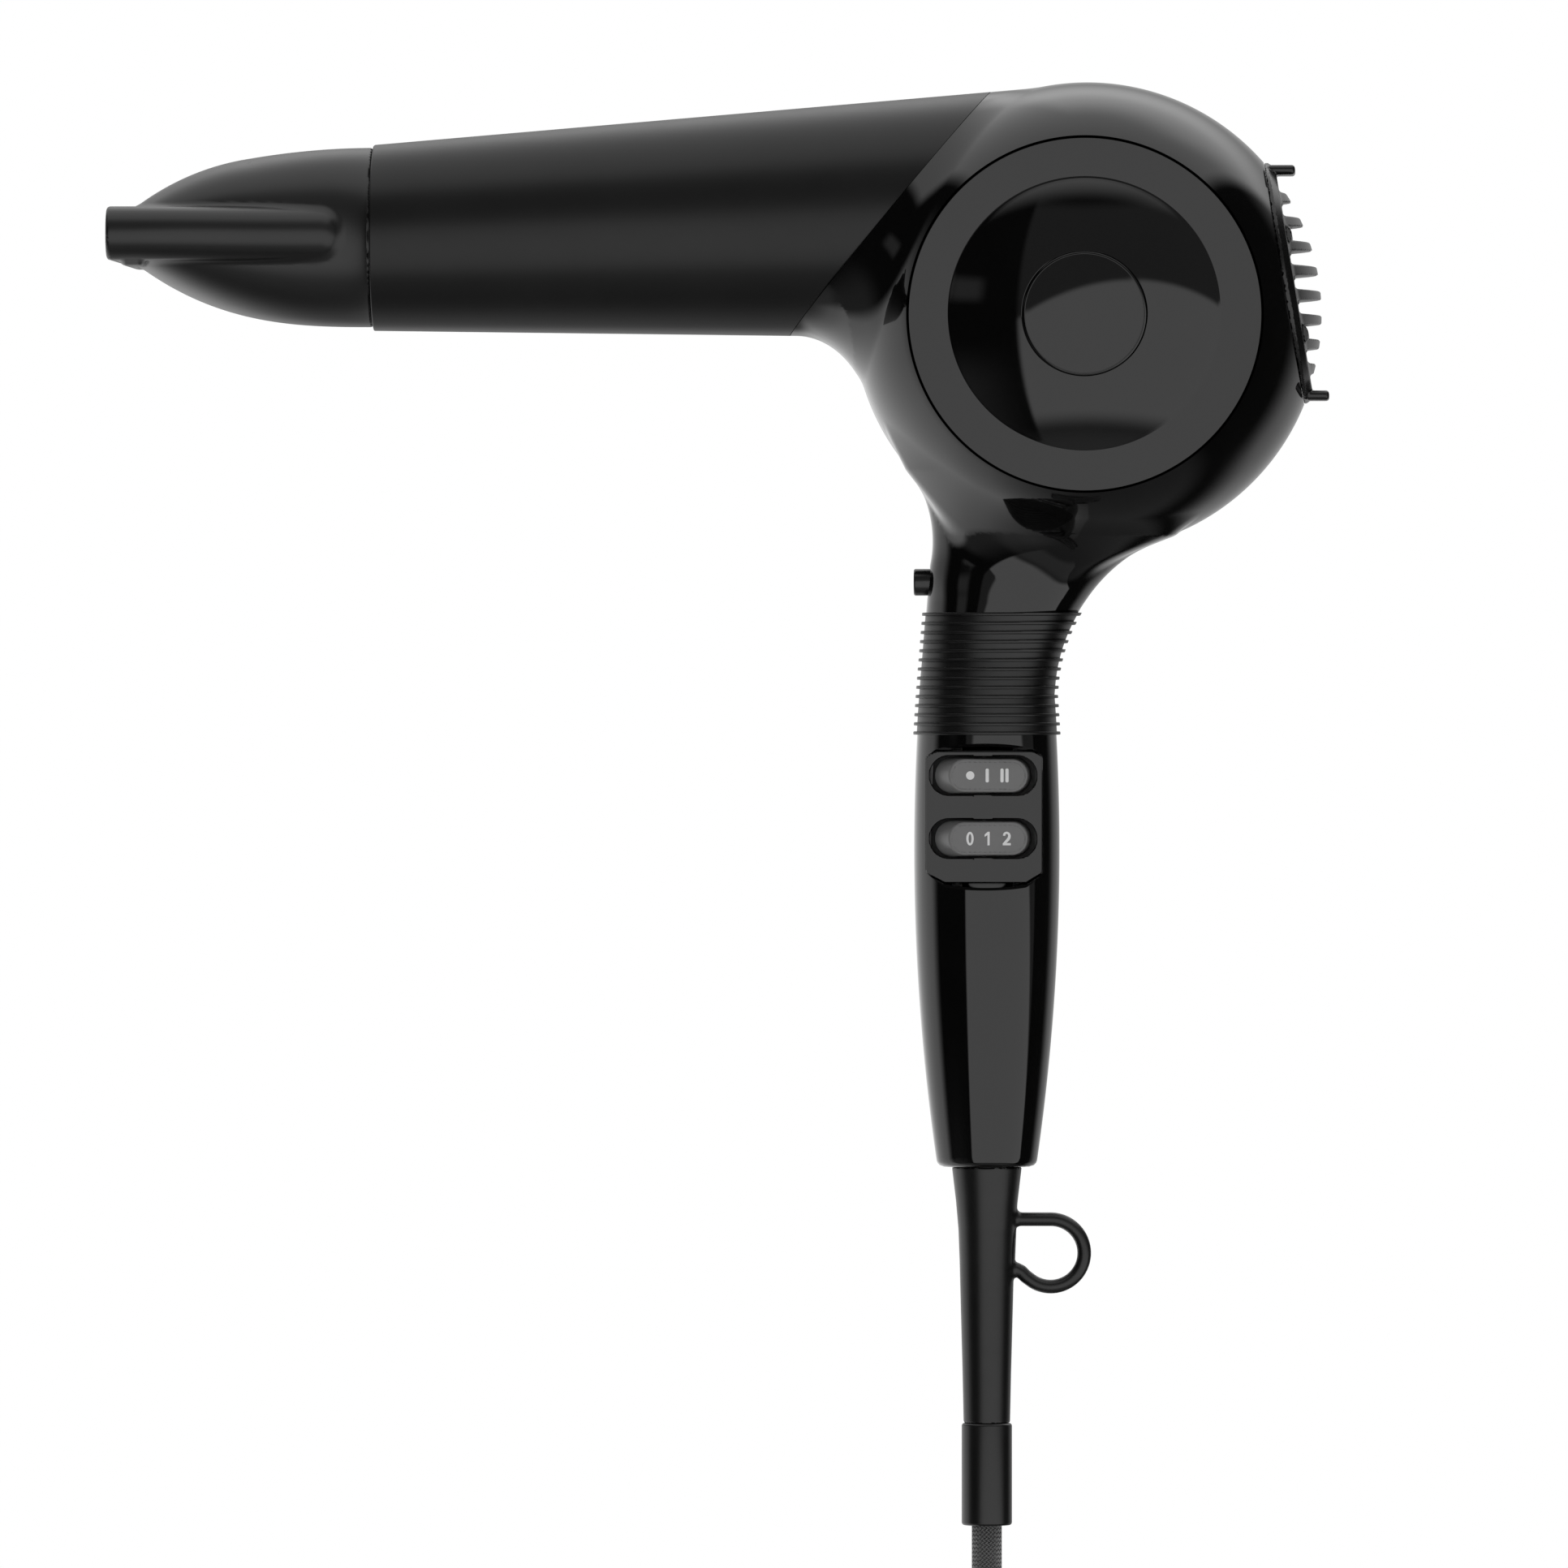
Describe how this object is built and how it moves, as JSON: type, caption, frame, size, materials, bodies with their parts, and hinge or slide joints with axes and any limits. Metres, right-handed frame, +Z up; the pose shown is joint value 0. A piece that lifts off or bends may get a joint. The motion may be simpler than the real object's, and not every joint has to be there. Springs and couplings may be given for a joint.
{
  "type": "hair dryer",
  "caption": "Hair dryer with a round blower head, tapered barrel, flat slot nozzle, ribbed slim handle, two rocker switches and a braided cord.",
  "frame": {"origin": "centre of the ribbed grip, on the handle's axis", "axes": "+Z up along the handle towards the head, -X the way the air leaves, the switches face -Y"},
  "size_m": [0.2996, 0.0902, 0.5486],
  "materials": {
    "gloss_shell": "high gloss black moulding",
    "gloss_cover": "high gloss black moulding",
    "matte_sleeve": "soft-touch matte black",
    "satin_nozzle": "satin black moulding",
    "grille_black": "fine matte black moulding",
    "rubber_black": "matte black elastomer",
    "rocker_grey": "satin dark grey with white marks",
    "inner_plastic": "plain dark moulding",
    "filter_mesh": "fine woven wire",
    "lamination_steel": "stacked laminations",
    "copper_winding": "enamelled wire",
    "bright_steel": "ground steel",
    "carbon": "pressed carbon",
    "mica": "layered mica sheet",
    "heating_wire": "resistance wire",
    "board_green": "solder-masked board",
    "wire_sleeve": "lead insulation",
    "cord_braid": "black braided jacket",
    "plug_black": "moulded matte black",
    "pin_nickel": "nickel-plated brass"
  },
  "bodies": {
    "housing": {"barrel_sleeve": "matte_sleeve", "inner_barrel": "inner_plastic", "outlet_grille": "inner_plastic", "shell_left": "gloss_shell", "shell_right": "gloss_shell", "side_cover_left": "gloss_cover", "side_cover_right": "gloss_cover", "hub_cap_left": "gloss_cover", "hub_cap_right": "gloss_cover", "grip_sleeve": "rubber_black", "switch_panel": "gloss_shell", "switch_body_heat": "inner_plastic", "switch_body_speed": "inner_plastic", "cold_shot_spring": "bright_steel", "cold_shot_switch": "inner_plastic", "strain_relief": "rubber_black", "cord_collar": "satin_nozzle", "cord_clamp": "inner_plastic", "stator_core": "lamination_steel", "stator_coils": "copper_winding", "motor_bracket_front": "inner_plastic", "motor_bracket_rear": "inner_plastic", "bearing_front": "bright_steel", "bearing_rear": "bright_steel", "carbon_brushes": "carbon", "motor_screws": "bright_steel", "scroll_case": "inner_plastic", "scroll_cover": "inner_plastic", "mica_tube": "mica", "mica_cross": "mica", "heating_coils": "heating_wire", "thermostat": "bright_steel", "thermal_fuse": "bright_steel", "control_board": "board_green", "wiring": "wire_sleeve", "shell_screws": "bright_steel", "cord_lead": "cord_braid", "cord_coil": "cord_braid", "cord_tail": "cord_braid", "cord_tie": "plug_black", "plug_body": "plug_black", "plug_pins": "pin_nickel"},
    "nozzle": {"nozzle": "satin_nozzle"},
    "fan": {"rotor_core": "lamination_steel", "commutator": "copper_winding", "motor_shaft": "bright_steel", "impeller": "inner_plastic", "impeller_nut": "bright_steel"},
    "heat_switch": {"rocker_heat": "rocker_grey"},
    "speed_switch": {"rocker_speed": "rocker_grey"},
    "button": {"cold_shot_button": "grille_black"},
    "grille": {"rear_grille": "grille_black", "intake_filter": "filter_mesh"}
  },
  "joints": [
    {"name": "nozzle_turn", "type": "hinge", "parent": "housing", "child": "nozzle", "pos_m": [-0.1511, 0, 0.1075], "axis": [1, 0, 0], "continuous": true},
    {"name": "fan_spin", "type": "hinge", "parent": "housing", "child": "fan", "pos_m": [0.0247, 0, 0.0879], "axis": [0, 1, 0], "continuous": true},
    {"name": "heat_rock", "type": "hinge", "parent": "housing", "child": "heat_switch", "pos_m": [-0.0007, -0.0083, -0.025], "axis": [0, 0, 1], "range_deg": [-24, 0]},
    {"name": "speed_rock", "type": "hinge", "parent": "housing", "child": "speed_switch", "pos_m": [-0.0007, -0.0083, -0.0405], "axis": [0, 0, 1], "range_deg": [-24, 0]},
    {"name": "cold_shot_press", "type": "slide", "parent": "housing", "child": "button", "axis": [1, 0, 0], "range_m": [0, 0.0025], "stiffness_N_per_m": 500, "springref_m": -0.002},
    {"name": "grille_pull", "type": "slide", "parent": "housing", "child": "grille", "axis": [0.9863, 0, 0.165], "range_m": [0, 0.03]}
  ]
}
